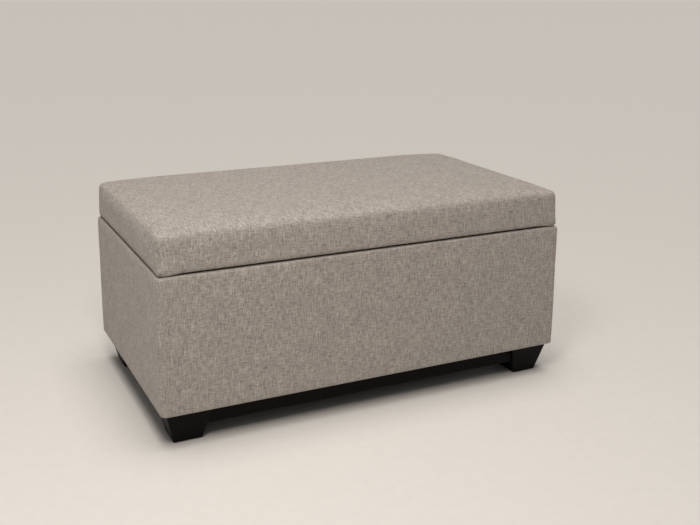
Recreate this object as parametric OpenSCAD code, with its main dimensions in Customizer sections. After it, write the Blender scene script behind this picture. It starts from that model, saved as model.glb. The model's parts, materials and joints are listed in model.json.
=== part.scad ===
// Upholstered storage bench with a hinged, cushioned lid and tapered feet.
// Origin: middle of the footprint, on the floor. X is the width, -Y the front, +Z up.

/* [Overall] */
// Width of the bench over its fabric
bench_w = 965; // [750:5:1300]
// Depth of the bench over its fabric
bench_d = 550; // [440:5:660]
// Height of the upholstered box, from its fabric's lower edge to its rim
body_h = 293; // [240:1:360]
// Height of the lid from its underside to its flat top
lid_h = 92; // [60:1:130]
// Height of the box's underside above the floor
foot_h = 73; // [45:1:160]

/* [Box] */
// Thickness of the four wall boards
panel_t = 15; // [12:0.5:20]
// Thickness of the bottom board
bottom_t = 12; // [9:0.5:20]
// Thickness of the padding and fabric on the outside of the walls
pad_t = 8; // [6:0.5:14]
// Thickness of the fabric and tape where it is folded over an edge
wrap_t = 1.6; // [1.2:0.1:2.5]
// Thickness of the lining cloth
lining_t = 1; // [0.6:0.1:2]
// Radius of the upright corners over the fabric
corner_r = 13; // [9:0.5:30]
// Radius of the fabric edge around the rim
rim_r = 5; // [2:0.5:7]
// Width of the square posts in the inner corners
post_w = 25; // [20:1:32]

/* [Feet and rails] */
// Width of a foot where it meets the box
foot_top_w = 98; // [80:1:120]
// Width of a foot at its base
foot_base_w = 62; // [40:1:78]
// Distance from the fabric to the top of a foot
foot_inset = 12; // [9:1:20]
// Width of the flat on each upright edge of a foot
foot_flat = 2; // [0.5:0.25:5]
// Radius of the glide under a foot
glide_r = 12; // [8:0.5:16]
// Thickness of the glide under a foot
glide_t = 2; // [1:0.5:4]
// Height of the front and back rails
rail_h = 38; // [26:1:42]
// Thickness of the front and back rails
rail_t = 18; // [12:1:30]
// Distance from the fabric to the face of a rail
rail_inset = 26; // [24:1:40]

/* [Lid] */
// Thickness of the lid board
lid_board_t = 15; // [12:0.5:20]
// Thickness of the padded cover around the foam
cover_t = 6; // [4:0.5:8]
// Gap between the rim of the box and the lid
lid_gap = 2; // [1.4:0.1:3]
// Radius of the lid's upper edges
lid_top_r = 24; // [12:1:40]
// Radius of the lid's lower edges
lid_low_r = 7; // [2:0.5:10]
// Width of the cover folded under the lid board
fold_w = 20; // [12:1:22]
// Radius of a rubber bumper
bumper_r = 6; // [4:0.5:7]

/* [Hinges] */
// Length of a hinge leaf
hinge_len = 76; // [50:1:120]
// Distance between the middles of the two hinges
hinge_spread = 600; // [400:5:640]
// Thickness of a hinge leaf
leaf_t = 1.6; // [1.2:0.1:2.5]
// Radius of the hinge barrel
barrel_r = 3.5; // [3.2:0.1:5]
// Radius of the hinge pin
hinge_pin_r = 1.75; // [1.25:0.05:2]

/* [Lid stays] */
// Angle at which the stays stop the lid
lid_open = 85; // [70:1:95]
// Distance from the hinge axis to the stay's pivot and to its stud
stay_reach = 140; // [120:1:160]
// Angle of the stay's pivot below the level of the hinge axis
pivot_angle = 5; // [5:0.5:8]
// Angle of the stay's stud below the level of the hinge axis
stud_angle = 29; // [27:0.5:30]
// Width of the slotted arm
arm_w = 16; // [14:0.5:20]
// Thickness of the slotted arm
arm_t = 2; // [1.5:0.25:3]
// Radius of the stud that runs in the slot
stud_r = 3; // [2.5:0.25:4]
// Radius of the stay's pivot pin
stay_pin_r = 2.5; // [2:0.25:3]

/* [Fasteners] */
// Radius of the wood screws in the box
screw_r = 2; // [1.5:0.25:2.5]
// Length of the wood screws in the box
screw_len = 32; // [26:1:40]
// Radius of the small screws in the fittings
fitting_screw_r = 1.6; // [1.2:0.1:1.8]
// Length of the small screws in the fittings
fitting_screw_len = 12; // [9:0.5:13]
// Radius of the foot bolts
bolt_r = 4; // [3:0.5:5]

/* [Hidden] */
$fn = 48;

// Running clearances: in a bore, beside a moving plate and around a leaf
bore_gap = 0.05;
side_gap = 0.3;
slot_gap = 0.3;
// Overlong cuts reach this far past the face that they open
past = 1;
// A bumper stops this far short of the rim
bumper_gap = 0.2;
// Room around a screw head in its counterbore
head_room = 0.5;

fabric = [0.60, 0.57, 0.55];
lining = [0.20, 0.20, 0.21];
black = [0.05, 0.05, 0.05];
board = [0.72, 0.58, 0.40];
post_wood = [0.80, 0.66, 0.47];
foam = [0.93, 0.89, 0.70];
steel = [0.68, 0.69, 0.70];
zinc = [0.78, 0.76, 0.70];
glide_plastic = [0.12, 0.12, 0.12];
rubber = [0.10, 0.10, 0.10];

// Levels
rim_z = foot_h + body_h;
board_top_z = rim_z - wrap_t;
floor_top_z = foot_h + bottom_t;
lid_z = rim_z + lid_gap;
lid_board_z = lid_z + wrap_t;
foam_z = lid_board_z + lid_board_t;
top_z = lid_z + lid_h;
dust_t = 1;
foot_top_z = foot_h - dust_t;

// Half sizes in plan: outer fabric, outer board, inner board and inner lining.
// They are whole hundredths of a millimetre, so that faces made from different sums still meet.
half_w = round(bench_w * 50) / 100;
half_d = round(bench_d * 50) / 100;
board_x = half_w - pad_t;
board_y = half_d - pad_t;
inner_x = board_x - panel_t;
inner_y = board_y - panel_t;
lined_x = inner_x - lining_t;
lined_y = inner_y - lining_t;

// Feet
foot_x = half_w - foot_inset - foot_top_w / 2;
foot_y = half_d - foot_inset - foot_top_w / 2;

// Hinge axis, at the parting line just behind the fabric
barrel_gap = 0.5;
hinge_y = half_d + barrel_gap + barrel_r;
hinge_z = rim_z + lid_gap / 2;
knuckles = 5;
knuckle_len = hinge_len / knuckles;
knuckle_gap = 0.3;
pin_head_t = 1;
pin_head_step = 0.7;
pin_head_r = barrel_r - pin_head_step;
leaf_screw_pitch = hinge_len / 3;

// Lid stay: pivot and stud lie on one circle about the hinge axis, so the arm
// turns by exactly half the lid's angle and its slot stays on the stud
pivot_y = hinge_y - stay_reach * cos(pivot_angle);
pivot_z = hinge_z - stay_reach * sin(pivot_angle);
stud_y = hinge_y - stay_reach * cos(stud_angle);
stud_z = hinge_z - stay_reach * sin(stud_angle);
closed_reach = 2 * stay_reach * sin((stud_angle - pivot_angle) / 2);
open_reach = 2 * stay_reach * sin((stud_angle - pivot_angle + lid_open) / 2);
arm_angle = (stud_angle + pivot_angle) / 2 - 90;
flange_t = 2;
flange_r = 10;
stud_head_t = 1.5;
stud_head_r = stud_r * 2;
stud_tail_r = stud_r - 0.5;
stud_tail_len = panel_t * 0.7;
arm_x = lined_x - flange_t - side_gap - arm_t;
bracket_t = 2;
bracket_x = arm_x - side_gap - bracket_t;
bracket_r = 8;
bracket_foot_w = 22;
bracket_len = 46;
rivet_head_t = 1.2;
rivet_head_rim = 1.75;
rivet_head_r = stay_pin_r + rivet_head_rim;

// Fasteners
screw_head_r = screw_r * 2;
screw_head_t = 3;
fitting_head_r = fitting_screw_r * 2;
fitting_head_t = 1.2;
tee_wall = 1.2;
tee_r = bolt_r + tee_wall;
tee_flange_w = 7;
tee_flange_r = bolt_r + tee_flange_w;
tee_flange_t = 1.5;
tee_below = 2;
tee_len = bottom_t - tee_flange_t - tee_below;
bolt_share = 0.55;
bolt_in_foot = (foot_top_z - glide_t) * bolt_share;
rail_screw_recess = rail_h / 3;
post_screw_margin = 40;
low_screw_z = floor_top_z + post_screw_margin;
high_screw_z = board_top_z - post_screw_margin;
crossing_step = 30;
edge_screw_z = foot_h + bottom_t / 2;
edge_screw_pitch = (inner_x - post_w) * 2 / 3;
side_screw_y = (inner_y - post_w) / 3;

// ---------------------------------------------------------------- outlines

function arc(x, y, r, from, steps = 6) =
    [for (i = [0 : steps]) let (a = from + 90 * i / steps) [x + r * cos(a), y + r * sin(a)]];

// Upright rectangle with one radius on its lower and one on its upper corners
function profile(half, low, high, low_r, high_r) = concat(
    arc(half - low_r, low + low_r, low_r, -90),
    arc(half - high_r, high - high_r, high_r, 0),
    arc(high_r - half, high - high_r, high_r, 90),
    arc(low_r - half, low + low_r, low_r, 180)
);

module along_y(half) {
    translate([0, half, 0])
        rotate([90, 0, 0])
            linear_extrude(height = 2 * half)
                children();
}

module along_x(half) {
    translate([-half, 0, 0])
        rotate([90, 0, 90])
            linear_extrude(height = 2 * half)
                children();
}

// Soft block that is rounded in plan and in both upright sections
module soft_block(hx, hy, low, high, upright_r, low_r, high_r) {
    intersection() {
        translate([0, 0, low])
            linear_extrude(height = high - low)
                polygon(profile(hx, -hy, hy, upright_r, upright_r));
        along_y(hy + past)
            polygon(profile(hx, low, high, low_r, high_r));
        along_x(hx + past)
            polygon(profile(hy, low, high, low_r, high_r));
    }
}

module box(x0, x1, y0, y1, z0, z1) {
    translate([x0, y0, z0])
        cube([x1 - x0, y1 - y0, z1 - z0]);
}

module rod_x(x0, x1, y, z, r) {
    translate([x0, y, z])
        rotate([0, 90, 0])
            cylinder(h = x1 - x0, r = r);
}

module rod_z(x, y, z0, z1, r) {
    translate([x, y, z0])
        cylinder(h = z1 - z0, r = r);
}

module both_sides() {
    children();
    mirror([1, 0, 0])
        children();
}

module four_corners() {
    both_sides() {
        children();
        mirror([0, 1, 0])
            children();
    }
}

// Left and right pieces are mirror images, made from the right-hand one
module on_side(side) {
    if (side == "right") children();
    else mirror([1, 0, 0]) children();
}

module on_end(end) {
    if (end == "back") children();
    else mirror([0, 1, 0]) children();
}

// ---------------------------------------------------------------- fasteners

// Countersunk screw that points down, with the top of its head at the origin
module screw(r, len, head_r, head_t) {
    rotate_extrude()
        polygon([[0, 0], [head_r, 0], [r, -head_t], [r, -len + r], [0, -len]]);
}

module panel_screw() {
    screw(screw_r, screw_len, screw_head_r, screw_head_t);
}

module panel_screw_set() {
    four_corners() {
        for (z = [low_screw_z, high_screw_z])
            translate([inner_x - post_w / 2, board_y, z])
                rotate([-90, 0, 0])
                    panel_screw();
        for (z = [low_screw_z + crossing_step, high_screw_z - crossing_step])
            translate([board_x, inner_y - post_w / 2, z])
                rotate([0, 90, 0])
                    panel_screw();
    }
}

module bottom_screw_set() {
    for (end = ["front", "back"], i = [-1 : 1])
        on_end(end)
            translate([i * edge_screw_pitch, board_y, edge_screw_z])
                rotate([-90, 0, 0])
                    panel_screw();
    both_sides()
        for (i = [-1, 1])
            translate([board_x, i * side_screw_y, edge_screw_z])
                rotate([0, 90, 0])
                    panel_screw();
}

module rail_screw_set(extra = 0) {
    for (end = ["front", "back"], i = [-1, 1])
        on_end(end)
            translate([i * edge_screw_pitch / 2, half_d - rail_inset - rail_t / 2, foot_top_z - rail_h])
                union() {
                    translate([0, 0, rail_screw_recess])
                        mirror([0, 0, 1])
                            panel_screw();
                    if (extra > 0)
                        translate([0, 0, -extra])
                            cylinder(h = rail_screw_recess + extra, r = screw_head_r + head_room);
                }
}

module foot_bolt_set() {
    four_corners()
        rod_z(foot_x, foot_y, foot_top_z - bolt_in_foot, floor_top_z - tee_flange_t, bolt_r);
}

module tee_nut_solid() {
    rod_z(foot_x, foot_y, floor_top_z - tee_flange_t, floor_top_z, tee_flange_r);
    rod_z(foot_x, foot_y, floor_top_z - tee_flange_t - tee_len, floor_top_z, tee_r);
}

module hinge_screw_set() {
    for (side = ["left", "right"], i = [-1 : 1])
        on_side(side)
            translate([hinge_spread / 2 + i * leaf_screw_pitch, inner_y + panel_t / 2, board_top_z + leaf_t])
                screw(fitting_screw_r, fitting_screw_len, fitting_head_r, fitting_head_t);
}

module lid_hinge_screw_set() {
    translate([0, 0, 2 * hinge_z])
        mirror([0, 0, 1])
            hinge_screw_set();
}

module bracket_screw_set() {
    both_sides()
        for (i = [-1, 1])
            translate([bracket_x - bracket_foot_w / 2, pivot_y + i * bracket_len / 3, lid_z])
                mirror([0, 0, 1])
                    screw(fitting_screw_r, fitting_screw_len, fitting_head_r, fitting_head_t);
}

module panel_screws() {
    color(zinc)
        panel_screw_set();
}

module bottom_screws() {
    color(zinc)
        bottom_screw_set();
}

module rail_screws() {
    color(zinc)
        rail_screw_set();
}

module foot_bolts() {
    color(zinc)
        foot_bolt_set();
}

module hinge_screws() {
    color(zinc)
        hinge_screw_set();
}

module lid_hinge_screws() {
    color(zinc)
        lid_hinge_screw_set();
}

module bracket_screws() {
    color(zinc)
        bracket_screw_set();
}

// ---------------------------------------------------------------- box

module front_back_panel(end) {
    color(board)
        difference() {
            on_end(end)
                box(-board_x, board_x, inner_y, board_y, foot_h, board_top_z);
            panel_screw_set();
            bottom_screw_set();
            hinge_screw_set();
        }
}

module side_panel(side) {
    color(board)
        difference() {
            on_side(side)
                box(inner_x, board_x, -inner_y, inner_y, foot_h, board_top_z);
            panel_screw_set();
            bottom_screw_set();
            stud(side);
        }
}

module bottom_panel() {
    color(board)
        difference() {
            box(-inner_x, inner_x, -inner_y, inner_y, foot_h, floor_top_z);
            bottom_screw_set();
            rail_screw_set();
            four_corners() {
                tee_nut_solid();
                rod_z(foot_x, foot_y, foot_h - past, floor_top_z, tee_r);
            }
        }
}

module post(side, end) {
    color(post_wood)
        difference() {
            on_side(side)
                on_end(end)
                    box(inner_x - post_w, inner_x, inner_y - post_w, inner_y, floor_top_z, rim_z - lining_t);
            panel_screw_set();
        }
}

// Padding and fabric around the walls, with its fold over the board's top edge
module upholstery_ring() {
    difference() {
        soft_block(half_w, half_d, foot_h, rim_z, corner_r, 0, rim_r);
        box(-board_x, board_x, -board_y, board_y, foot_h - past, board_top_z);
        box(-inner_x, inner_x, -inner_y, inner_y, board_top_z - past, rim_z + past);
        leaf_beds();
    }
}

// Room for the fixed leaves in the fold at the back
module leaf_beds() {
    both_sides()
        box(
            (hinge_spread - hinge_len) / 2 - side_gap, (hinge_spread + hinge_len) / 2 + side_gap,
            inner_y - past, half_d + past, board_top_z, rim_z + past
        );
}

// The same room above the parting line, for the lid's leaves
module lid_leaf_beds() {
    translate([0, 0, 2 * hinge_z])
        mirror([0, 0, 1])
            leaf_beds();
}

module front_back_upholstery(end) {
    color(fabric)
        intersection() {
            upholstery_ring();
            on_end(end)
                box(-half_w, half_w, inner_y, half_d, foot_h, rim_z);
        }
}

module side_upholstery(side) {
    color(fabric)
        intersection() {
            upholstery_ring();
            on_side(side)
                box(inner_x, half_w, -inner_y, inner_y, foot_h, rim_z);
        }
}

module front_back_lining(end) {
    color(lining)
        on_end(end)
            box(
                post_w + lining_t - inner_x, inner_x - post_w - lining_t, lined_y, inner_y,
                floor_top_z + lining_t, rim_z
            );
}

// Side lining, which also wraps the two corner posts and covers their tops
module side_lining(side) {
    color(lining)
        on_side(side)
            difference() {
                union() {
                    box(lined_x, inner_x, -inner_y, inner_y, floor_top_z + lining_t, rim_z);
                    for (end = ["front", "back"])
                        on_end(end)
                            box(
                                inner_x - post_w - lining_t, inner_x, inner_y - post_w - lining_t, inner_y,
                                floor_top_z + lining_t, rim_z
                            );
                }
                for (end = ["front", "back"])
                    on_end(end)
                        box(
                            inner_x - post_w, inner_x + past, inner_y - post_w, inner_y + past,
                            floor_top_z, rim_z - lining_t
                        );
                stud("right");
            }
}

module bottom_lining() {
    color(lining)
        difference() {
            box(-inner_x, inner_x, -inner_y, inner_y, floor_top_z, floor_top_z + lining_t);
            four_corners()
                box(
                    inner_x - post_w, inner_x + past, inner_y - post_w, inner_y + past,
                    floor_top_z - past, floor_top_z + lining_t + past
                );
        }
}

module dust_cover() {
    color(black)
        difference() {
            box(-board_x, board_x, -board_y, board_y, foot_top_z, foot_h);
            rail_screw_set();
            four_corners()
                rod_z(foot_x, foot_y, foot_top_z - past, foot_h + past, bolt_r);
        }
}

// Square block, in the middle of a foot, that widens from its base to its top
module tapered_block(half_base, half_top) {
    taper = [
        [-half_base, glide_t], [half_base, glide_t],
        [half_top, foot_top_z], [-half_top, foot_top_z]
    ];
    intersection() {
        along_y(foot_top_w)
            polygon(taper);
        along_x(foot_top_w)
            polygon(taper);
    }
}

// Tapered foot, cut by a block at 45 degrees that leaves a flat on each upright edge
module foot_solid() {
    to_corner = sqrt(0.5);
    translate([foot_x, foot_y, 0])
        intersection() {
            tapered_block(foot_base_w / 2, foot_top_w / 2);
            rotate([0, 0, 45])
                tapered_block(
                    foot_base_w * to_corner - foot_flat / 2,
                    foot_top_w * to_corner - foot_flat / 2
                );
        }
}

module foot(side, end) {
    color(black)
        difference() {
            on_side(side)
                on_end(end)
                    foot_solid();
            foot_bolt_set();
        }
}

module rail(end) {
    color(black)
        difference() {
            on_end(end)
                box(
                    -foot_x, foot_x, half_d - rail_inset - rail_t, half_d - rail_inset,
                    foot_top_z - rail_h, foot_top_z
                );
            both_sides()
                on_end(end)
                    foot_solid();
            rail_screw_set(past);
        }
}

module foot_glides() {
    color(glide_plastic)
        four_corners()
            rod_z(foot_x, foot_y, 0, glide_t, glide_r);
}

module foot_tee_nuts() {
    color(zinc)
        four_corners()
            difference() {
                tee_nut_solid();
                rod_z(foot_x, foot_y, foot_h - past, floor_top_z - tee_flange_t, bolt_r);
            }
}

// ---------------------------------------------------------------- hinges

module knuckle(i) {
    x0 = (hinge_spread - hinge_len) / 2 + i * knuckle_len;
    rod_x(x0 + knuckle_gap / 2, x0 + knuckle_len - knuckle_gap / 2, hinge_y, hinge_z, barrel_r);
}

module knuckle_room(i) {
    x0 = (hinge_spread - hinge_len) / 2 + i * knuckle_len;
    rod_x(x0 - knuckle_gap / 2, x0 + knuckle_len + knuckle_gap / 2, hinge_y, hinge_z, barrel_r + side_gap);
}

// One leaf with its share of the knuckles: 0 for the box's leaf, 1 for the lid's
module leaf(share) {
    x0 = (hinge_spread - hinge_len) / 2;
    difference() {
        union() {
            translate([0, 0, share * 2 * hinge_z])
                mirror([0, 0, share])
                    box(x0, x0 + hinge_len, inner_y, hinge_y, board_top_z, board_top_z + leaf_t);
            for (i = [share : 2 : knuckles - 1])
                knuckle(i);
        }
        for (i = [1 - share : 2 : knuckles - 1])
            knuckle_room(i);
        rod_x(x0 - past, x0 + hinge_len + past, hinge_y, hinge_z, hinge_pin_r + bore_gap);
        if (share == 0) hinge_screw_set();
        if (share == 1) lid_hinge_screw_set();
    }
}

module hinge_leaf(side) {
    color(steel)
        on_side(side)
            leaf(0);
}

module lid_leaf(side) {
    color(steel)
        on_side(side)
            leaf(1);
}

module hinge_pin(side) {
    x0 = (hinge_spread - hinge_len) / 2;
    x1 = (hinge_spread + hinge_len) / 2;
    color(steel)
        on_side(side) {
            rod_x(x0 - pin_head_t, x1 + pin_head_t, hinge_y, hinge_z, hinge_pin_r);
            rod_x(x0 - pin_head_t, x0, hinge_y, hinge_z, pin_head_r);
            rod_x(x1, x1 + pin_head_t, hinge_y, hinge_z, pin_head_r);
        }
}

// ---------------------------------------------------------------- lid

module board_shape() {
    translate([0, 0, lid_board_z])
        linear_extrude(height = lid_board_t)
            polygon(profile(
                half_w - cover_t, cover_t - half_d, half_d - cover_t,
                corner_r - cover_t, corner_r - cover_t
            ));
}

module foam_shape() {
    soft_block(
        half_w - cover_t, half_d - cover_t, foam_z, top_z - cover_t,
        corner_r - cover_t, 0, lid_top_r - cover_t
    );
}

module lid_board() {
    color(board)
        difference() {
            board_shape();
            lid_hinge_screw_set();
            bracket_screw_set();
        }
}

module lid_foam() {
    color(foam)
        foam_shape();
}

module lid_cover() {
    color(fabric)
        difference() {
            soft_block(half_w, half_d, lid_z, top_z, corner_r, lid_low_r, lid_top_r);
            board_shape();
            foam_shape();
            fold_opening(past);
            lid_leaf_beds();
        }
}

// The middle of the underside, inside the fold of the cover
module fold_opening(below = 0) {
    box(
        cover_t + fold_w - half_w, half_w - cover_t - fold_w,
        cover_t + fold_w - half_d, half_d - cover_t - fold_w,
        lid_z - below, lid_board_z
    );
}

module lid_lining() {
    color(lining)
        difference() {
            fold_opening();
            lid_leaf_beds();
            both_sides()
                bracket_foot();
        }
}

module lid_bumpers() {
    color(rubber)
        four_corners()
            rod_z(inner_x + panel_t / 2, inner_y - post_w, rim_z + bumper_gap, lid_z, bumper_r);
}

// ---------------------------------------------------------------- lid stays

module stud(side) {
    on_side(side) {
        rod_x(arm_x - side_gap - stud_head_t, lined_x, stud_y, stud_z, stud_r);
        rod_x(arm_x - side_gap - stud_head_t, arm_x - side_gap, stud_y, stud_z, stud_head_r);
        rod_x(lined_x - flange_t, lined_x, stud_y, stud_z, flange_r);
        rod_x(lined_x, inner_x + stud_tail_len, stud_y, stud_z, stud_tail_r);
    }
}

module stay_stud(side) {
    color(steel)
        stud(side);
}

module stay_arm(side) {
    tail = open_reach + slot_gap + arm_w / 2;
    color(steel)
        on_side(side)
            translate([arm_x, pivot_y, pivot_z])
                rotate([90, 0, 90])
                    linear_extrude(height = arm_t)
                        rotate([0, 0, arm_angle])
                            arm_outline(tail);
}

module arm_outline(tail) {
    difference() {
        union() {
            translate([0, -arm_w / 2])
                square([tail, arm_w]);
            circle(d = arm_w);
            translate([tail, 0])
                circle(d = arm_w);
        }
        circle(r = stay_pin_r + bore_gap);
        slot_outline(closed_reach - slot_gap, open_reach + slot_gap, stud_r + slot_gap);
    }
}

module slot_outline(from, to, r) {
    translate([from, -r])
        square([to - from, 2 * r]);
    translate([from, 0])
        circle(r = r);
    translate([to, 0])
        circle(r = r);
}

// The bracket's foot lies against the lid board, level with the lining
module bracket_foot() {
    box(
        bracket_x - bracket_foot_w, bracket_x + bracket_t,
        pivot_y - bracket_len / 2, pivot_y + bracket_len / 2, lid_z, lid_board_z
    );
}

module stay_bracket(side) {
    color(steel)
        on_side(side)
            difference() {
                union() {
                    bracket_foot();
                    box(
                        bracket_x, bracket_x + bracket_t, pivot_y - bracket_r, pivot_y + bracket_r,
                        pivot_z, lid_board_z
                    );
                    rod_x(bracket_x, bracket_x + bracket_t, pivot_y, pivot_z, bracket_r);
                }
                pivot_rivet();
                bracket_screw_set();
            }
}

module pivot_rivet() {
    outer = arm_x + arm_t + side_gap;
    rod_x(bracket_x - rivet_head_t, outer + rivet_head_t, pivot_y, pivot_z, stay_pin_r);
    rod_x(bracket_x - rivet_head_t, bracket_x, pivot_y, pivot_z, rivet_head_r);
    rod_x(outer, outer + rivet_head_t, pivot_y, pivot_z, rivet_head_r);
}

module stay_pin(side) {
    color(zinc)
        on_side(side)
            pivot_rivet();
}

// ---------------------------------------------------------------- assembly

front_back_panel("front");  // front_panel
front_back_panel("back");  // back_panel
side_panel("left");  // left_panel
side_panel("right");  // right_panel
bottom_panel();
post("left", "front");  // front_left_post
post("right", "front");  // front_right_post
post("left", "back");  // back_left_post
post("right", "back");  // back_right_post
front_back_upholstery("front");  // front_upholstery
front_back_upholstery("back");  // back_upholstery
side_upholstery("left");  // left_upholstery
side_upholstery("right");  // right_upholstery
front_back_lining("front");  // front_lining
front_back_lining("back");  // back_lining
side_lining("left");  // left_lining
side_lining("right");  // right_lining
bottom_lining();
dust_cover();
rail("front");  // front_rail
rail("back");  // back_rail
foot("left", "front");  // front_left_foot
foot("right", "front");  // front_right_foot
foot("left", "back");  // back_left_foot
foot("right", "back");  // back_right_foot
foot_glides();
foot_bolts();
foot_tee_nuts();
rail_screws();
panel_screws();
bottom_screws();
hinge_leaf("left");  // left_hinge_leaf
hinge_leaf("right");  // right_hinge_leaf
hinge_pin("left");  // left_hinge_pin
hinge_pin("right");  // right_hinge_pin
hinge_screws();
stay_stud("left");  // left_stay_stud
stay_stud("right");  // right_stay_stud
lid_board();
lid_foam();
lid_cover();
lid_lining();
lid_leaf("left");  // left_lid_leaf
lid_leaf("right");  // right_lid_leaf
lid_hinge_screws();
stay_bracket("left");  // left_stay_bracket
stay_bracket("right");  // right_stay_bracket
bracket_screws();
stay_pin("left");  // left_stay_pin
stay_pin("right");  // right_stay_pin
lid_bumpers();
stay_arm("left");  // left_stay_arm
stay_arm("right");  // right_stay_arm
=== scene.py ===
"""Looks of the upholstered storage bench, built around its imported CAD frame."""
import json
import math

import bmesh
import bpy
import numpy as np
from mathutils import Matrix, Vector, noise


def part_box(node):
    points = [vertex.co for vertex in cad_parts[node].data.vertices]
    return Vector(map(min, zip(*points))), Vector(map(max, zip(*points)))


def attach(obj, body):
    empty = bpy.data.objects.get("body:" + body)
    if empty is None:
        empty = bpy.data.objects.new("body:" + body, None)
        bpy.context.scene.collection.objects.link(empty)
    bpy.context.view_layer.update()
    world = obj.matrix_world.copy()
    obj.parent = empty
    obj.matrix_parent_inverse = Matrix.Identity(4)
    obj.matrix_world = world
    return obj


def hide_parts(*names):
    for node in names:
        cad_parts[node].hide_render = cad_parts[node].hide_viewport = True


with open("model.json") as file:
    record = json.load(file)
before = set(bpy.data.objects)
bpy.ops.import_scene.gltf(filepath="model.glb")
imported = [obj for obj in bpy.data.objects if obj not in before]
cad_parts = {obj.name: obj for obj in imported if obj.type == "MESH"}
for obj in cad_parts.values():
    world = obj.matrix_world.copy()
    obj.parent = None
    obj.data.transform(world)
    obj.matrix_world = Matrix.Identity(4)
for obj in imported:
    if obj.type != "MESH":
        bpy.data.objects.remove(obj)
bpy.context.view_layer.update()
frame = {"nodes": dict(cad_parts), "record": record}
MM = 0.001

# ------------------------------------------------------------------ measures from the frame

BOX_LOW, BOX_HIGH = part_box("front_upholstery")
HALF_W = BOX_HIGH.x
HALF_D = -BOX_LOW.y
BOX_Z = BOX_LOW.z
RIM_Z = BOX_HIGH.z
PANEL_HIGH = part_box("front_panel")[1]
BOARD_TOP_Z = PANEL_HIGH.z
PAD_T = HALF_W - PANEL_HIGH.x
WALL_T = HALF_D + PANEL_HIGH.y
LID_LOW, LID_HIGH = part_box("lid_cover")
LID_Z, TOP_Z = LID_LOW.z, LID_HIGH.z
BOARD_LOW, BOARD_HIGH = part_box("lid_board")
LID_LINING_LOW, LID_LINING_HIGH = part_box("lid_lining")
FLOOR_LINING_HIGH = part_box("bottom_lining")[1]
POST_LOW, POST_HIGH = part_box("front_right_post")
LEAF_LOW, LEAF_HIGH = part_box("right_hinge_leaf")
CORNER_R = 13 * MM
RIM_R = 5 * MM
HEM_R = 3 * MM
CLOSEST_STATIONS = 0.6 * MM
WALL_STEP = 11 * MM
SHEET_STEP = 14 * MM

# ------------------------------------------------------------------ mesh helpers


def mesh_object(name, points, faces, uv=None):
    """A new object in the shared frame. uv is each point's place on the flat cloth, in metres."""
    mesh = bpy.data.meshes.new(name)
    mesh.from_pydata([tuple(p) for p in points], [], faces)
    mesh.validate()
    thing = bpy.data.objects.new(name, mesh)
    bpy.context.scene.collection.objects.link(thing)
    if uv is not None:
        layer = mesh.uv_layers.new(name="weave")
        for loop in mesh.loops:
            layer.data[loop.index].uv = uv[loop.vertex_index]
    smooth(thing)
    return thing


def smooth(thing):
    for face in thing.data.polygons:
        face.use_smooth = True


def apply_modifiers(thing):
    graph = bpy.context.evaluated_depsgraph_get()
    mesh = bpy.data.meshes.new_from_object(thing.evaluated_get(graph))
    thing.modifiers.clear()
    thing.data = mesh


def coordinates(thing):
    flat = np.zeros(len(thing.data.vertices) * 3)
    thing.data.vertices.foreach_get("co", flat)
    return flat.reshape(-1, 3)


def set_coordinates(thing, points):
    thing.data.vertices.foreach_set("co", np.ascontiguousarray(points, dtype=np.float32).ravel())
    thing.data.update()


def fbm(x, y, z):
    """Fractal noise of three octaves, about -1 to 1."""
    return noise.fractal(Vector((x, y, z)), 1.0, 2.0, 3)


def stations(low, high, step, near=(), spread=()):
    """Evenly spaced places from low to high, with closer ones around each place in near."""
    count = max(2, round((high - low) / step))
    places = {round(low + (high - low) * i / count, 7) for i in range(count + 1)}
    for middle in near:
        for offset in spread:
            place = middle + offset
            if low < place < high:
                places = {
                    p for p in places if abs(p - place) > CLOSEST_STATIONS or p in (low, high)
                }
                places.add(round(place, 7))
    return sorted(places)


def quarter(start, count):
    """Angles of a quarter turn, without its first and last."""
    return [start + math.pi / 2 * i / count for i in range(1, count)]


# ------------------------------------------------------------------ materials


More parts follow.
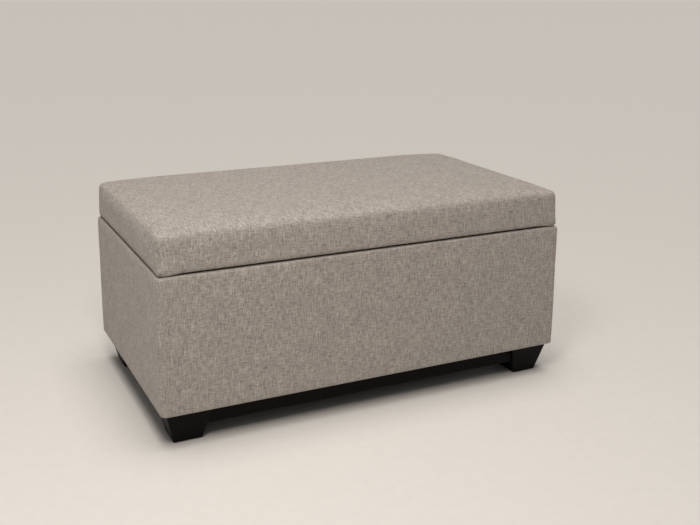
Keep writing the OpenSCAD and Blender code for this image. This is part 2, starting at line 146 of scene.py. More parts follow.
class Shader:
    """A material and short ways to add nodes to it."""

    def __init__(self, name, **surface):
        self.material = bpy.data.materials.new(name)
        self.material.use_nodes = True
        self.tree = self.material.node_tree
        self.surface = self.tree.nodes["Principled BSDF"]
        for socket, value in surface.items():
            self.surface.inputs[socket.replace("_", " ")].default_value = value

    def node(self, kind, inputs=(), **settings):
        made = self.tree.nodes.new(kind)
        for key, value in settings.items():
            setattr(made, key, value)
        for key, value in dict(inputs).items():
            if isinstance(value, bpy.types.NodeSocket):
                self.tree.links.new(value, made.inputs[key])
            else:
                made.inputs[key].default_value = value
        return made

    def math(self, operation, a, b=0.0):
        return self.node("ShaderNodeMath", {0: a, 1: b}, operation=operation).outputs[0]

    def place(self, layer=None):
        if layer:
            return self.node("ShaderNodeUVMap", uv_map=layer).outputs[0]
        return self.node("ShaderNodeTexCoord").outputs["Object"]

    def scaled(self, vector, factors):
        inputs = {0: vector, 1: factors}
        return self.node("ShaderNodeVectorMath", inputs, operation="MULTIPLY").outputs[0]

    def noise(self, vector, factors, detail=2.0, roughness=0.5):
        at = self.scaled(vector, factors)
        inputs = {"Vector": at, "Scale": 1.0, "Detail": detail, "Roughness": roughness}
        return self.node("ShaderNodeTexNoise", inputs).outputs[0]

    def spread(self, value, low, high, to_low=0.0, to_high=1.0):
        inputs = {0: value, 1: low, 2: high, 3: to_low, 4: to_high}
        return self.node("ShaderNodeMapRange", inputs).outputs[0]

    def mix(self, share, a, b, blend="MIX"):
        made = self.node("ShaderNodeMix", data_type="RGBA", blend_type=blend)
        for socket, value in ((made.inputs[0], share), (made.inputs[6], a), (made.inputs[7], b)):
            if isinstance(value, bpy.types.NodeSocket):
                self.tree.links.new(value, socket)
            else:
                socket.default_value = value
        return made.outputs[2]

    def colour(self, value):
        self.tree.links.new(value, self.surface.inputs["Base Color"])

    def roughness(self, value):
        self.tree.links.new(value, self.surface.inputs["Roughness"])

    def bump(self, height, strength, distance):
        inputs = {"Strength": strength, "Distance": distance, "Height": height}
        made = self.node("ShaderNodeBump", inputs)
        self.tree.links.new(made.outputs[0], self.surface.inputs["Normal"])


def rgb(r, g, b):
    return (r, g, b, 1.0)


def toned(base, factor):
    return tuple(factor * c for c in base[:3]) + (1.0,)


YARN_PITCH = 1.7 * MM


def woven_fabric():
    """Heathered linen-look upholstery: crossing yarns of uneven thickness, in mixed greys."""
    s = Shader("linen_upholstery", Roughness=0.93, Sheen_Weight=0.18, Sheen_Roughness=0.45)
    s.surface.inputs["Sheen Tint"].default_value = rgb(0.9, 0.87, 0.84)
    s.surface.inputs["Specular IOR Level"].default_value = 0.16
    at = s.place("weave")
    parts = s.node("ShaderNodeSeparateXYZ", {0: at}).outputs
    yarn = 2 * math.pi / YARN_PITCH
    across = s.math("SINE", s.math("MULTIPLY", parts[0], yarn))
    along = s.math("SINE", s.math("MULTIPLY", parts[1], yarn))
    over = s.spread(s.math("MULTIPLY", across, along), -0.5, 0.5)
    warp = s.noise(at, (430, 48, 1), 3.0, 0.62)
    weft = s.noise(at, (60, 400, 1), 3.0, 0.62)
    tone = s.mix(over, warp, weft)
    yarns = s.mix(s.spread(tone, 0.32, 0.66), rgb(0.190, 0.165, 0.147), rgb(0.530, 0.488, 0.450))
    thick = s.spread(s.noise(at, (300, 34, 1), 1.0), 0.57, 0.74)
    mixed = s.mix(s.math("MULTIPLY", thick, 0.44), yarns, rgb(0.62, 0.58, 0.54))
    crossing = s.spread(s.noise(at, (48, 330, 1), 1.0), 0.60, 0.76)
    mixed = s.mix(s.math("MULTIPLY", crossing, 0.36), mixed, rgb(0.60, 0.56, 0.52))
    flecks = s.spread(s.noise(at, (360, 110, 1), 1.0), 0.58, 0.72)
    mixed = s.mix(s.math("MULTIPLY", flecks, 0.46), mixed, rgb(0.125, 0.108, 0.098))
    shade = s.spread(s.noise(at, (22, 18, 1), 2.0), 0.30, 0.70, 0.95, 1.05)
    s.colour(s.mix(1.0, mixed, shade, "MULTIPLY"))
    rise = s.math("MAXIMUM", s.math("ABSOLUTE", across), s.math("ABSOLUTE", along))
    height = s.math("ADD", s.math("MULTIPLY", rise, 0.5), s.math("ADD", tone, thick))
    s.bump(height, 0.6, 0.45 * MM)
    return s.material


def cloth(name, base, cell, depth=0.2):
    """Thin non-woven cloth with a fine embossed grid."""
    s = Shader(name, Roughness=0.9, Sheen_Weight=0.08)
    at = s.place("weave")
    parts = s.node("ShaderNodeSeparateXYZ", {0: at}).outputs
    wave = 2 * math.pi / cell
    dimples = s.math(
        "MULTIPLY",
        s.math("SINE", s.math("MULTIPLY", parts[0], wave)),
        s.math("SINE", s.math("MULTIPLY", parts[1], wave)),
    )
    fibres = s.noise(at, (240, 240, 1), 4.0, 0.7)
    blotches = s.noise(at, (14, 14, 1), 2.0)
    shade = s.spread(fibres, 0.3, 0.7, 0.78, 1.18)
    tone = s.math("ADD", shade, s.spread(blotches, 0.3, 0.7, -0.06, 0.06))
    s.colour(s.mix(1.0, base, tone, "MULTIPLY"))
    s.bump(s.math("ADD", s.math("MULTIPLY", dimples, 0.5), fibres), 0.5, depth * MM)
    return s.material


def painted_wood():
    """Satin black paint over wood, with a faint grain."""
    s = Shader("black_painted_wood", Roughness=0.55)
    s.surface.inputs["Specular IOR Level"].default_value = 0.10
    at = s.place()
    grain = s.noise(at, (18, 160, 160), 4.0, 0.6)
    specks = s.noise(at, (380, 380, 380), 2.0)
    tone = s.spread(grain, 0.35, 0.7)
    s.colour(s.mix(tone, rgb(0.0022, 0.0021, 0.0020), rgb(0.0050, 0.0047, 0.0044)))
    uneven = s.math("ADD", grain, s.math("MULTIPLY", specks, 0.4))
    s.roughness(s.spread(uneven, 0.4, 1.0, 0.48, 0.64))
    s.bump(s.math("ADD", grain, s.math("MULTIPLY", specks, 0.35)), 0.25, 0.12 * MM)
    return s.material


def raw_wood(name, pale, dark, stretch):
    """Unfinished board or post, its grain along the axis with the smallest stretch."""
    s = Shader(name, Roughness=0.72)
    at = s.place()
    rings = s.node(
        "ShaderNodeTexWave",
        {"Vector": s.scaled(at, stretch), "Scale": 1.0, "Distortion": 6.0, "Detail": 3.0},
    ).outputs[1]
    pores = s.noise(at, tuple(v * 14 for v in stretch), 3.0, 0.6)
    s.colour(s.mix(s.math("MULTIPLY", s.math("ADD", rings, pores), 0.5), pale, dark))
    s.bump(pores, 0.3, 0.2 * MM)
    return s.material


def metal(name, base, roughness, brushed):
    """Plated steel with fine drawn lines and small blemishes."""
    s = Shader(name, Metallic=1.0, Roughness=roughness)
    at = s.place()
    lines = s.noise(at, brushed, 3.0, 0.7)
    smudge = s.noise(at, (60, 60, 60), 2.0)
    s.colour(s.mix(s.spread(smudge, 0.35, 0.7), base, toned(base, 0.82)))
    s.roughness(s.spread(lines, 0.3, 0.7, roughness - 0.08, roughness + 0.12))
    s.bump(lines, 0.05, 0.02 * MM)
    return s.material


def moulded(name, base, roughness):
    """Plain plastic or rubber with a fine moulded grain."""
    s = Shader(name, Roughness=roughness)
    at = s.place()
    grain = s.noise(at, (900, 900, 900), 2.0)
    s.colour(s.mix(s.spread(grain, 0.3, 0.7), base, toned(base, 1.5)))
    s.bump(grain, 0.3, 0.05 * MM)
    return s.material


def open_foam():
    """Yellowed cushion foam with open cells."""
    s = Shader("open_foam", Roughness=0.95)
    at = s.place()
    cells = s.node("ShaderNodeTexVoronoi", {"Vector": at, "Scale": 700.0}).outputs[0]
    s.colour(s.mix(s.spread(cells, 0.0, 0.7), rgb(0.55, 0.48, 0.30), rgb(0.80, 0.74, 0.55)))
    s.bump(cells, 0.6, 0.4 * MM)
    return s.material


FABRIC = woven_fabric()
LINING = cloth("lining_cloth", rgb(0.052, 0.052, 0.055), 2.4 * MM)
DUST_CLOTH = cloth("dust_cloth", rgb(0.012, 0.012, 0.013), 1.6 * MM, 0.15)
FINISHES = {
    "upholstery_fabric": FABRIC,
    "lining_cloth": LINING,
    "dust_cloth": DUST_CLOTH,
    "foam": open_foam(),
    "panel_board": raw_wood("plywood", rgb(0.60, 0.44, 0.27), rgb(0.42, 0.28, 0.16), (8, 60, 60)),
    "post_wood": raw_wood("softwood", rgb(0.68, 0.50, 0.30), rgb(0.48, 0.31, 0.16), (60, 60, 7)),
    "black_wood": painted_wood(),
    "glide_plastic": moulded("glide_plastic", rgb(0.020, 0.020, 0.020), 0.4),
    "bumper_rubber": moulded("bumper_rubber", rgb(0.012, 0.012, 0.012), 0.7),
    "plated_steel": metal("nickel_plate", rgb(0.50, 0.49, 0.475), 0.28, (40, 700, 700)),
    "zinc_steel": metal("zinc_plate", rgb(0.54, 0.525, 0.47), 0.32, (500, 500, 500)),
}


def finish_cad_nodes():
    """Each CAD node that stays gets its slot's finish."""
    slots = {part["node"]: part["material_slot"] for part in frame["record"]["subparts"]}
    for name, thing in frame["nodes"].items():
        thing.data.materials.clear()
        thing.data.materials.append(FINISHES[slots[name]])


# ------------------------------------------------------------------ box upholstery

SEAM_IN = 22 * MM
SEAM_SPREAD = tuple(v * MM for v in (-6, -3, -1.6, -0.7, 0, 0.7, 1.6, 3, 6))
HINGE_SPREAD = tuple(v * MM for v in (-2, -0.4, 0.4, 2))
CORNER_STEPS = 7
LEAF_ROOM = 0.2 * MM
WAVE_FADE = 30 * MM
RIM_DIP, RIM_DIP_REACH, RIM_DIP_FADE = 3.0 * MM, 20 * MM, 40 * MM


def sleeve_stations():
    """Places along the front and back (x) and along the sides (y), between the rounded corners."""
    reach_x, reach_y = HALF_W - CORNER_R, HALF_D - CORNER_R
    seams = (-HALF_W + SEAM_IN, HALF_W - SEAM_IN)
    front = stations(-reach_x, reach_x, WALL_STEP, seams, SEAM_SPREAD)
    hinge_edges = [side * x for side in (-1, 1) for x in (LEAF_LOW.x, LEAF_HIGH.x)]
    back = stations(-reach_x, reach_x, WALL_STEP, hinge_edges, HINGE_SPREAD)
    back = sorted({*back, *(x + s for x in seams for s in SEAM_SPREAD)})
    side = stations(-reach_y, reach_y, WALL_STEP)
    return front, side, back, seams


def ring(inset, front, side, back):
    """Closed line around the box, inset from its face, anticlockwise from the front's left end."""
    radius = max(CORNER_R - inset, 0.5 * MM)
    sx, sy = HALF_W - inset - radius, HALF_D - inset - radius
    kx, ky = sx / (HALF_W - CORNER_R), sy / (HALF_D - CORNER_R)

    def corner(cx, cy, start):
        angles = quarter(start, CORNER_STEPS)
        return [(cx + radius * math.cos(a), cy + radius * math.sin(a)) for a in angles]

    line = [(x * kx, -HALF_D + inset) for x in front] + corner(sx, -sy, -math.pi / 2)
    line += [(HALF_W - inset, y * ky) for y in side] + corner(sx, sy, 0.0)
    line += [(x * kx, HALF_D - inset) for x in reversed(back)] + corner(-sx, sy, math.pi / 2)
    line += [(-HALF_W + inset, y * ky) for y in reversed(side)] + corner(-sx, -sy, math.pi)
    return line


def sleeve_profile():
    """Closed upright section of padding and fabric, outside first: (inset from face, height)."""
    face = [(0.0, z) for z in stations(BOX_Z + HEM_R, RIM_Z - RIM_R, 9 * MM)]
    rim = [
        (RIM_R - RIM_R * math.sin(a), RIM_Z - RIM_R + RIM_R * math.cos(a))
        for a in (math.pi / 2 - t for t in quarter(0.0, 5))
    ]
    fold = [(inset, RIM_Z) for inset in (RIM_R, 10 * MM, 16 * MM, WALL_T)]
    inside = [(WALL_T, BOARD_TOP_Z), (PAD_T, BOARD_TOP_Z), (PAD_T, RIM_Z - 60 * MM), (PAD_T, BOX_Z)]
    hem = [
        (HEM_R - HEM_R * math.sin(a), BOX_Z + HEM_R - HEM_R * math.cos(a))
        for a in quarter(0.0, 4)
    ]
    return face + rim + fold + inside + [(HEM_R, BOX_Z)] + hem


def box_cover():
    """The padded fabric around the four walls, one sewn sleeve with a seam near each corner."""
    front, side, back, seams = sleeve_stations()
    profile = sleeve_profile()
    rings = [ring(inset, front, side, back) for inset, _ in profile]
    outer = ring(0.0, front, side, back)
    count = len(outer)
    walked = [0.0]
    for a, b in zip(outer, outer[1:]):
        walked.append(walked[-1] + math.dist(a, b))
    points, uv, faces = [], [], []
    run = 0.0
    for j, (inset, z) in enumerate(profile):
        if j:
            run += math.dist(profile[j], profile[j - 1])
        for i in range(count):
            x, y = rings[j][i]
            push = 0.0
            if inset < RIM_R:
                push = surface_wave(walked[i], z) + seam_groove(x, y, seams)
            out = outward(outer[i])
            height = hinge_bed(x, y, z - rim_dip(x, y, inset, z))
            points.append((x + out[0] * push, y + out[1] * push, height))
            uv.append((walked[i], run))
    rows = len(profile)
    for j in range(rows):
        for i in range(count):
            a, b = j * count + i, j * count + (i + 1) % count
            c, d = ((j + 1) % rows) * count + (i + 1) % count, ((j + 1) % rows) * count + i
            faces.append((a, b, c, d))
    cover = mesh_object("box_cover", points, faces, uv)
    cover.data.materials.append(FABRIC)
    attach(cover, "box")
    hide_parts("front_upholstery", "back_upholstery", "left_upholstery", "right_upholstery")


def outward(place):
    """Unit direction out of the rounded rectangle at a place on it."""
    dx = max(abs(place[0]) - (HALF_W - CORNER_R), 0.0) * math.copysign(1, place[0])
    dy = max(abs(place[1]) - (HALF_D - CORNER_R), 0.0) * math.copysign(1, place[1])
    size = math.hypot(dx, dy) or 1.0
    return dx / size, dy / size


def surface_wave(along, z):
    """Soft unevenness of cloth over wadding, fading out at the rim and the hem."""
    edge = min(1.0, (z - BOX_Z) / WAVE_FADE, (RIM_Z - z) / WAVE_FADE)
    broad = fbm(along * 5.2, z * 6.5, 1.7) * 0.7 * MM
    fine = fbm(along * 24, z * 20, 8.1) * 0.22 * MM
    return max(edge, 0.0) * (broad + fine + 0.4 * MM)


def seam_groove(x, y, seams):
    """A sewn seam pulls in by nearly a millimetre, with a slight swell on each side."""
    if abs(y) < HALF_D - CORNER_R:
        return 0.0
    near = min(abs(x - seam) for seam in seams)
    groove = 0.9 * MM * math.exp(-((near / (1.3 * MM)) ** 2))
    swell = 0.3 * MM * math.exp(-(((near - 4.5 * MM) / (2.5 * MM)) ** 2))
    return swell - groove


def corner_pull(x, y, reach):
    """1 at an upright corner, fading away along both faces within about the reach."""
    gap = math.hypot(HALF_W - abs(x), HALF_D - abs(y))
    return math.exp(-((gap / reach) ** 2))


def rim_dip(x, y, inset, z):
    """The cloth is drawn down a little over each corner of the rim."""
    if inset >= PAD_T or z < RIM_Z - RIM_DIP_FADE:
        return 0.0
    return RIM_DIP * corner_pull(x, y, RIM_DIP_REACH) * (z - RIM_Z + RIM_DIP_FADE) / RIM_DIP_FADE


def hinge_bed(x, y, z):
    """The hinge leaves press the folded cloth down to the board."""
    beside = LEAF_LOW.x - LEAF_ROOM < abs(x) < LEAF_HIGH.x + LEAF_ROOM
    if beside and y > LEAF_LOW.y - 1 * MM and z > BOARD_TOP_Z:
        return min(z, BOARD_TOP_Z + 0.02 * MM)
    return z


# ------------------------------------------------------------------ lid cushion

# The form before it is swelled: smaller than the lid all round, lower, and leaning in upwards
CUSHION_VOXEL = 7 * MM
CUSHION_SHRINK = 1.5 * MM
CUSHION_LOW_TOP = 8 * MM
CUSHION_LEAN = 2.2 * MM
UPRIGHT_R, ARRIS_R, LOW_R = 20 * MM, 11 * MM, 9 * MM

# The swelling: how far it goes, where it is held at the bottom, and its share near the edges
CUSHION_CAP = 9 * MM
HELD_BELOW, HELD_FADE = 2 * MM, 58 * MM
EDGE_BAND, EDGE_FADE, EDGE_SHARE = 10 * MM, 50 * MM, 0.3
CLOTH_FRAMES = 20
CLOTH_SETTINGS = {
    "quality": 6,
    "use_pressure": True,
    "uniform_pressure_force": 1.1,
    "vertex_group_mass": "held",
    "tension_stiffness": 25,
    "compression_stiffness": 25,
    "shear_stiffness": 12,
    "bending_stiffness": 3,
}

# The droop at the four corners: its depth and reach, low on the sides and at the top
LOW_DROOP, LOW_DROOP_REACH = 4.6 * MM, 32 * MM
TOP_DROOP, TOP_DROOP_REACH = 3.5 * MM, 95 * MM
DROOP_INSET, DROOP_FADE = 6 * MM, 12 * MM


def cushion_form():
    """Closed block a little smaller than the lid, with rounded edges, remeshed evenly."""
    low_top = TOP_Z - CUSHION_LOW_TOP
    size = Vector((HALF_W - CUSHION_SHRINK, HALF_D - CUSHION_SHRINK, low_top - LID_Z))
    shape = bmesh.new()
    bmesh.ops.create_cube(shape, size=1.0)
    for v in shape.verts:
        x, y, rise = v.co.x, v.co.y, v.co.z + 0.5
        lean = rise * CUSHION_LEAN
        v.co = (x * 2 * (size.x - lean), y * 2 * (size.y - lean), LID_Z + rise * size.z)

    def upright(edge):
        return abs(edge.verts[0].co.z - edge.verts[1].co.z) > size.z / 2

    def at_top(edge):
        return all(v.co.z > LID_Z + size.z - MM for v in edge.verts)

    def at_bottom(edge):
        return all(v.co.z < LID_Z + MM for v in edge.verts)

    for radius, chosen in ((UPRIGHT_R, upright), (ARRIS_R, at_top), (LOW_R, at_bottom)):
        edges = [e for e in shape.edges if chosen(e)]
        bmesh.ops.bevel(shape, geom=edges, offset=radius, segments=5, profile=0.5, affect="EDGES")
    mesh = bpy.data.meshes.new("lid_cushion")
    shape.to_mesh(mesh)
    shape.free()
    thing = bpy.data.objects.new("lid_cushion", mesh)
    bpy.context.scene.collection.objects.link(thing)
    remesh = thing.modifiers.new("even", "REMESH")
    remesh.mode = "VOXEL"
    remesh.voxel_size = CUSHION_VOXEL
    apply_modifiers(thing)
    return thing


def inflate(thing, held, loose):
    """Swells the closed form as cloth under pressure.

    held gives each point's pin weight, and loose the share of its swelling that it keeps.
    """
    rest = coordinates(thing)
    group = thing.vertex_groups.new(name="held")
    for index, weight in enumerate(held):
        if weight > 0:
            group.add([index], float(weight), "REPLACE")
    settings = thing.modifiers.new("cloth", "CLOTH").settings
    for key, value in CLOTH_SETTINGS.items():
        setattr(settings, key, value)
    settings.effector_weights.gravity = 0
    scene = bpy.context.scene
    scene.frame_start, scene.frame_end = 1, CLOTH_FRAMES
    for number in range(1, CLOTH_FRAMES + 1):
        scene.frame_set(number)
    apply_modifiers(thing)
    moved = coordinates(thing) - rest
    length = np.linalg.norm(moved, axis=1, keepdims=True)
    limited = CUSHION_CAP * np.tanh(length / CUSHION_CAP)
    set_coordinates(thing, rest + moved * loose[:, None] * limited / np.maximum(length, 1e-9))
    scene.frame_set(1)


def corner_droop(thing):
    """Draws the cover down at the lid's four corners, both low on its sides and at its top."""
    points = coordinates(thing)
    for place in points:
        inset = min(HALF_W - abs(place[0]), HALF_D - abs(place[1]))
        outer = min(1.0, max(0.0, 1 - (inset - DROOP_INSET) / DROOP_FADE))
        rise = (place[2] - LID_Z) / (TOP_Z - LID_Z)
        low_pull = corner_pull(place[0], place[1], LOW_DROOP_REACH)
        top_pull = corner_pull(place[0], place[1], TOP_DROOP_REACH)
        place[2] -= LOW_DROOP * low_pull * outer * max(0.0, 1 - rise)
        place[2] -= TOP_DROOP * top_pull * max(0.0, rise) ** 2
    set_coordinates(thing, points)


def cushion_pocket(thing):
    """Opens the underside inside the folded border, and lines the space that the board fills."""
    shape = bmesh.new()
    shape.from_mesh(thing.data)
    inner_x, inner_y = LID_LINING_HIGH.x, LID_LINING_HIGH.y
    middle = [f for f in shape.faces
              if f.calc_center_median().z < LID_Z + 3 * MM
              and abs(f.calc_center_median().x) < inner_x
              and abs(f.calc_center_median().y) < inner_y]
    bmesh.ops.delete(shape, geom=middle, context="FACES")
    rim = [e for e in shape.edges if e.is_boundary]
    for v in {v for e in rim for v in e.verts}:
        v.co = onto_rectangle(v.co, inner_x, inner_y, LID_Z)
    steps = (
        (inner_x, inner_y, BOARD_LOW.z),
        (BOARD_HIGH.x, BOARD_HIGH.y, BOARD_LOW.z),
        (BOARD_HIGH.x, BOARD_HIGH.y, BOARD_HIGH.z),
    )
    for x, y, z in steps:
        made = bmesh.ops.extrude_edge_only(shape, edges=rim)["geom"]
        for v in (g for g in made if isinstance(g, bmesh.types.BMVert)):
            v.co = onto_rectangle(v.co, x, y, z)
        rim = [g for g in made if isinstance(g, bmesh.types.BMEdge) and g.is_boundary]
    bmesh.ops.holes_fill(shape, edges=rim)
    bmesh.ops.recalc_face_normals(shape, faces=shape.faces[:])
    shape.to_mesh(thing.data)
    shape.free()


def onto_rectangle(place, half_x, half_y, z):
    """The point of a rectangle's outline in the same direction from its middle."""
    scale = max(abs(place.x) / half_x, abs(place.y) / half_y)
    return Vector((place.x / scale, place.y / scale, z))


def unrolled_uv(thing):
    """Cloth coordinates that run on from the top down each side, so the yarns aren't broken."""
    mesh = thing.data
    layer = mesh.uv_layers.new(name="weave")
    for face in mesh.polygons:
        n = face.normal
        lies_flat = abs(n.z) >= max(abs(n.x), abs(n.y))
        for index in face.loop_indices:
            p = mesh.vertices[mesh.loops[index].vertex_index].co
            if lies_flat:
                layer.data[index].uv = (p.x, p.y)
            elif abs(n.y) >= abs(n.x):
                layer.data[index].uv = (p.x, math.copysign(HALF_D + TOP_Z - p.z, n.y))
            else:
                layer.data[index].uv = (math.copysign(HALF_W + TOP_Z - p.z, n.x), p.y)


def lid_cushion():
    """The foam-filled lid cover, swelled as cloth over its board."""
    cushion = cushion_form()
    points = coordinates(cushion)
    height = np.clip((points[:, 2] - LID_Z - HELD_BELOW) / HELD_FADE, 0, 1)
    inset = np.minimum(HALF_W - np.abs(points[:, 0]), HALF_D - np.abs(points[:, 1]))
    inward = np.clip((inset - EDGE_BAND) / EDGE_FADE, 0, 1)
    loose = EDGE_SHARE + (1 - EDGE_SHARE) * inward * inward * (3 - 2 * inward)
    inflate(cushion, (1 - height) ** 2, loose)
    corner_droop(cushion)
    cushion_pocket(cushion)
    smooth(cushion)
    unrolled_uv(cushion)
    cushion.data.materials.clear()
    cushion.data.materials.append(FABRIC)
    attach(cushion, "lid")
    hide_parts("lid_cover", "lid_foam")


# ------------------------------------------------------------------ linings and dust cover

LINED_GAP = FLOOR_LINING_HIGH.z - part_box("bottom_panel")[1].z
LINED_X, LINED_Y = HALF_W - WALL_T - LINED_GAP, HALF_D - WALL_T - LINED_GAP
POST_X, POST_Y = POST_LOW.x - LINED_GAP, -POST_HIGH.y - LINED_GAP
FLOOR_Z = FLOOR_LINING_HIGH.z
BRACKET_LOW, BRACKET_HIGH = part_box("right_stay_bracket")
LINING_T, LID_CLOTH_T, DUST_CLOTH_T = 0.7 * MM, 0.5 * MM, 0.4 * MM
PATH_STEP = 12 * MM
POST_FADE = 40 * MM
HEM_W = 9 * MM


def grid_sheet(name, xs, ys, height, keep):
    """A flat cloth over xs by ys, at height(x, y), without the cells that keep(x, y) refuses."""
    points = [(x, y, height(x, y)) for y in ys for x in xs]
    wide = len(xs)
    faces = []
    for j in range(len(ys) - 1):
        for i in range(wide - 1):
            if keep((xs[i] + xs[i + 1]) / 2, (ys[j] + ys[j + 1]) / 2):
                a = j * wide + i
                faces.append((a, a + 1, a + wide + 1, a + wide))
    made = mesh_object(name, points, faces, [(x, y) for y in ys for x in xs])
    shape = bmesh.new()
    shape.from_mesh(made.data)
    bmesh.ops.delete(shape, geom=[v for v in shape.verts if not v.link_faces], context="VERTS")
    shape.to_mesh(made.data)
    shape.free()
    return made


def give_thickness(thing, thickness, side):
    """Turns an open sheet into cloth of real thickness, grown to one side of it."""
    solid = thing.modifiers.new("cloth_thickness", "SOLIDIFY")
    solid.thickness = thickness
    solid.offset = side
    apply_modifiers(thing)
    smooth(thing)


def both_signs(values):
    return sorted({-v for v in values} | set(values))


def edge_fade(x, y, half_x, half_y, reach):
    """0 at the edge of a rectangle, rising to 1 within the reach."""
    return max(0.0, min(1.0, (half_x - abs(x)) / reach, (half_y - abs(y)) / reach))


def lined_wall_path():
    """Plan of the wall lining: each place, with the place on the rim that its top folds out to."""
    out_x, out_y = LINED_X + LINED_GAP, LINED_Y + LINED_GAP
    legs = (
        ((0, -LINED_Y), (POST_X, -LINED_Y), (0, -out_y), (POST_X, -out_y)),
        ((POST_X, -LINED_Y), (POST_X, -POST_Y), (POST_X, -out_y), (out_x, -out_y)),
        ((POST_X, -POST_Y), (LINED_X, -POST_Y), (out_x, -out_y), (out_x, -POST_Y)),
        ((LINED_X, -POST_Y), (LINED_X, 0), (out_x, -POST_Y), (out_x, 0)),
    )
    quarter_path = []
    for start, end, rim_start, rim_end in legs:
        steps = max(2, round(math.dist(start, end) / PATH_STEP))
        for i in range(steps):
            t = i / steps
            place = tuple(a + (b - a) * t for a, b in zip(start, end))
            rim = tuple(a + (b - a) * t for a, b in zip(rim_start, rim_end))
            quarter_path.append((place, rim))
    quarter_path.append((legs[-1][1], legs[-1][3]))
    half = quarter_path + [(flip(p, 1, -1), flip(r, 1, -1)) for p, r in reversed(quarter_path[:-1])]
    return half + [(flip(p, -1, 1), flip(r, -1, 1)) for p, r in reversed(half[1:-1])]


def flip(place, sx, sy):
    return place[0] * sx, place[1] * sy


def wall_lining():
    """Cloth round the inside of the box, which wraps the posts and folds out over the rim."""
    path = lined_wall_path()
    heights = stations(FLOOR_Z + 0.2 * MM, RIM_Z - 1.2 * MM, WALL_STEP)
    shares = (0.3, 0.65, 1.0)
    rows = len(heights) + len(shares)
    points, uv, faces = [], [], []
    for j in range(rows):
        walked = 0.0
        for i, ((x, y), rim) in enumerate(path):
            if i:
                walked += math.dist(path[i - 1][0], (x, y))
            if j < len(heights):
                z = heights[j]
                dx, dy = inward_wave(x, y, walked, z)
                points.append((x + dx, y + dy, z))
            else:
                t = shares[j - len(heights)]
                points.append((x + (rim[0] - x) * t, y + (rim[1] - y) * t, RIM_Z - 0.15 * MM))
            uv.append((walked, heights[min(j, len(heights) - 1)]))
    count = len(path)
    for j in range(rows - 1):
        for i in range(count):
            k = (i + 1) % count
            faces.append((j * count + i, (j + 1) * count + i, (j + 1) * count + k, j * count + k))
    lining = mesh_object("wall_lining", points, faces, uv)
    lining.data.materials.append(LINING)
    give_thickness(lining, LINING_T, -1)
    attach(lining, "box")
    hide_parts("front_lining", "back_lining", "left_lining", "right_lining")


def inward_wave(x, y, walked, z):
    """Loose folds of the lining, towards the inside. None at the posts, shallow by the stays."""
    on_side = abs(x) > LINED_X - MM
    on_end = abs(y) > LINED_Y - MM
    if not (on_side or on_end):
        return 0.0, 0.0
    from_post = abs(abs(y) - POST_Y) if on_side else abs(abs(x) - POST_X)
    clear = min(1.0, from_post / POST_FADE)
    upright = min(1.0, (z - FLOOR_Z) / (25 * MM), (RIM_Z - z) / (30 * MM))
    folds = 0.5 + 0.5 * math.sin(walked * 70 + 3 * fbm(walked * 5, z * 4, 2.3))
    depth = (0.5 * folds + 0.9 * abs(fbm(walked * 9, z * 5, 5.5))) * MM * max(0.0, clear * upright)
    if on_side:
        return -math.copysign(depth * (0.4 if y > 0 else 1.0), x), 0.0
    return 0.0, -math.copysign(depth * 2.2, y)


def floor_lining():
    """Cloth glued over the bottom board, cut round the posts."""
    xs = both_signs(stations(0, LINED_X, SHEET_STEP, (POST_X,), (0,)))
    ys = both_signs(stations(0, LINED_Y, SHEET_STEP, (POST_Y,), (0,)))

    def height(x, y):
        loose = edge_fade(x, y, LINED_X, LINED_Y, 60 * MM)
        broad, fine = abs(fbm(x * 6, y * 6, 4.4)), abs(fbm(x * 21, y * 17, 1.2))
        return FLOOR_Z + loose * (0.9 * broad + 0.4 * fine) * MM

    def keep(x, y):
        return abs(x) < POST_X or abs(y) < POST_Y

    lining = grid_sheet("floor_lining", xs, ys, height, keep)
    lining.data.materials.append(LINING)
    give_thickness(lining, LINING_T, -1)
    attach(lining, "box")
    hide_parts("bottom_lining")


def lid_underside():
    """Cloth under the lid, stapled inside the cover's border and cut out for the stays' feet."""
    half_x, half_y = LID_LINING_HIGH.x, LID_LINING_HIGH.y
    bracket_x, bracket_y = (BRACKET_LOW.x, BRACKET_HIGH.x), (BRACKET_LOW.y, BRACKET_HIGH.y)
    xs = both_signs(stations(0, half_x, SHEET_STEP, bracket_x, (0,)))
    ys = stations(LID_LINING_LOW.y, half_y, SHEET_STEP, bracket_y, (0,))

    def height(x, y):
        edge = min(half_x - abs(x), half_y - abs(y))
        along = x if half_y - abs(y) < half_x - abs(x) else y
        wave = 0.5 + 0.5 * math.sin(along * 2 * math.pi / (45 * MM))
        tuck = 0.35 * MM * wave * math.exp(-edge / (25 * MM))
        sag = 1.1 * MM * edge_fade(x, y, half_x, half_y, 120 * MM)
        turned = 0.5 * MM if edge < HEM_W else 0.0
        uneven = 0.6 + 0.5 * abs(fbm(x * 7, y * 7, 9.0))
        return BOARD_LOW.z - 0.9 * MM - turned - tuck - sag * uneven

    def keep(x, y):
        return not (BRACKET_LOW.x < abs(x) < BRACKET_HIGH.x and BRACKET_LOW.y < y < BRACKET_HIGH.y)

    lining = grid_sheet("lid_underside_lining", xs, ys, height, keep)
    lining.data.materials.append(LINING)
    give_thickness(lining, LID_CLOTH_T, 1)
    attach(lining, "lid")
    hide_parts("lid_lining")


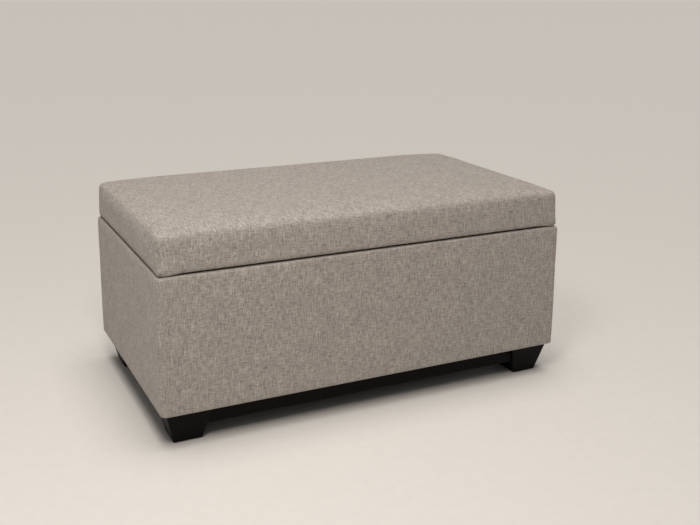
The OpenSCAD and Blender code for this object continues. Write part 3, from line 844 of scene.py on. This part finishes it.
def dust_sheet():
    """Thin black cloth stapled under the box, slack between the feet and the rails."""
    low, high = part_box("dust_cover")
    foot_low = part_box("front_right_foot")[0]
    rail_y = -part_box("front_rail")[1].y
    xs = both_signs(stations(0, high.x, 16 * MM, (foot_low.x,), (0,)))
    ys = both_signs(stations(0, high.y, 16 * MM, (rail_y,), (0,)))

    def height(x, y):
        slack = edge_fade(x, y, foot_low.x, rail_y - 20 * MM, 70 * MM)
        return low.z + 0.5 * MM - slack * (1.2 + 1.5 * abs(fbm(x * 5, y * 6, 3.1))) * MM

    sheet = grid_sheet("dust_sheet", xs, ys, height, lambda x, y: True)
    sheet.data.materials.append(DUST_CLOTH)
    give_thickness(sheet, DUST_CLOTH_T, 1)
    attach(sheet, "box")
    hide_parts("dust_cover")


# ------------------------------------------------------------------ stage, lights and camera


def stage():
    bpy.ops.mesh.primitive_circle_add(vertices=96, radius=40, fill_type="NGON")
    floor = bpy.context.object
    floor.name = "studio_floor"
    s = Shader("pale_floor", Roughness=0.9)
    grain = s.noise(s.place(), (40, 40, 40), 3.0)
    s.colour(s.mix(s.spread(grain, 0.3, 0.7), rgb(0.66, 0.64, 0.61), rgb(0.68, 0.66, 0.63)))
    floor.data.materials.append(s.material)


def area_light(name, place, target, size, power, colour):
    data = bpy.data.lights.new(name, "AREA")
    data.shape = "DISK"
    data.size = size
    data.energy = power
    data.color = colour
    lamp = bpy.data.objects.new(name, data)
    lamp.location = place
    lamp.visible_camera = False
    lamp.rotation_euler = (Vector(target) - Vector(place)).to_track_quat("-Z", "Y").to_euler()
    bpy.context.scene.collection.objects.link(lamp)


def sun_light(name, direction, strength, spread, colour):
    data = bpy.data.lights.new(name, "SUN")
    data.energy = strength
    data.angle = math.radians(spread)
    data.color = colour
    lamp = bpy.data.objects.new(name, data)
    lamp.rotation_euler = Vector(direction).to_track_quat("-Z", "Y").to_euler()
    bpy.context.scene.collection.objects.link(lamp)


def lights():
    world = bpy.data.worlds.new("studio")
    world.use_nodes = True
    world.node_tree.nodes["Background"].inputs["Color"].default_value = rgb(0.96, 0.93, 0.88)
    world.node_tree.nodes["Background"].inputs["Strength"].default_value = 0.24
    bpy.context.scene.world = world
    sun_light(
        "fill", direction=(0.0, 0.04, -1.0), strength=2.0, spread=40, colour=(1.0, 0.96, 0.91),
    )
    area_light(
        "key", place=(-0.72, -1.10, 1.66), target=(-0.25, -0.1, 0.25),
        size=0.5, power=11.5, colour=(1.0, 0.92, 0.85),
    )
    area_light(
        "side", place=(-2.10, -0.70, 0.55), target=(-0.48, -0.1, 0.18),
        size=1.0, power=1.2, colour=(0.95, 0.98, 0.92),
    )


# Place in bench widths, turns in degrees, lens in millimetres
CAMERA_PLACE = (-0.962, -2.104, 0.987)
CAMERA_TURNS = (26.1, 13.05, 0.46)
CAMERA_LENS = 49.6
CAMERA_SHIFT_Y = -0.10


def camera():
    """Camera at the front left, above the lid: where it stands, its turns and its lens."""
    place = Vector(CAMERA_PLACE) * 2 * HALF_W
    yaw, pitch, roll = (math.radians(v) for v in CAMERA_TURNS)
    level = math.cos(pitch)
    ahead = Vector((math.sin(yaw) * level, math.cos(yaw) * level, -math.sin(pitch)))
    right = Vector((math.cos(yaw), -math.sin(yaw), 0))
    up = right.cross(ahead)
    right, up = (
        right * math.cos(roll) + up * math.sin(roll),
        up * math.cos(roll) - right * math.sin(roll),
    )
    data = bpy.data.cameras.new("camera")
    data.sensor_width = 36
    data.lens = CAMERA_LENS
    data.shift_y = CAMERA_SHIFT_Y
    view = bpy.data.objects.new("camera", data)
    view.matrix_world = Matrix((
        (right.x, up.x, -ahead.x, place.x),
        (right.y, up.y, -ahead.y, place.y),
        (right.z, up.z, -ahead.z, place.z),
        (0, 0, 0, 1),
    ))
    bpy.context.scene.collection.objects.link(view)
    bpy.context.scene.camera = view
    bpy.context.scene.view_settings.view_transform = "Standard"


# ------------------------------------------------------------------ build

camera()
lights()
stage()
finish_cad_nodes()
box_cover()
lid_cushion()
wall_lining()
floor_lining()
lid_underside()
dust_sheet()
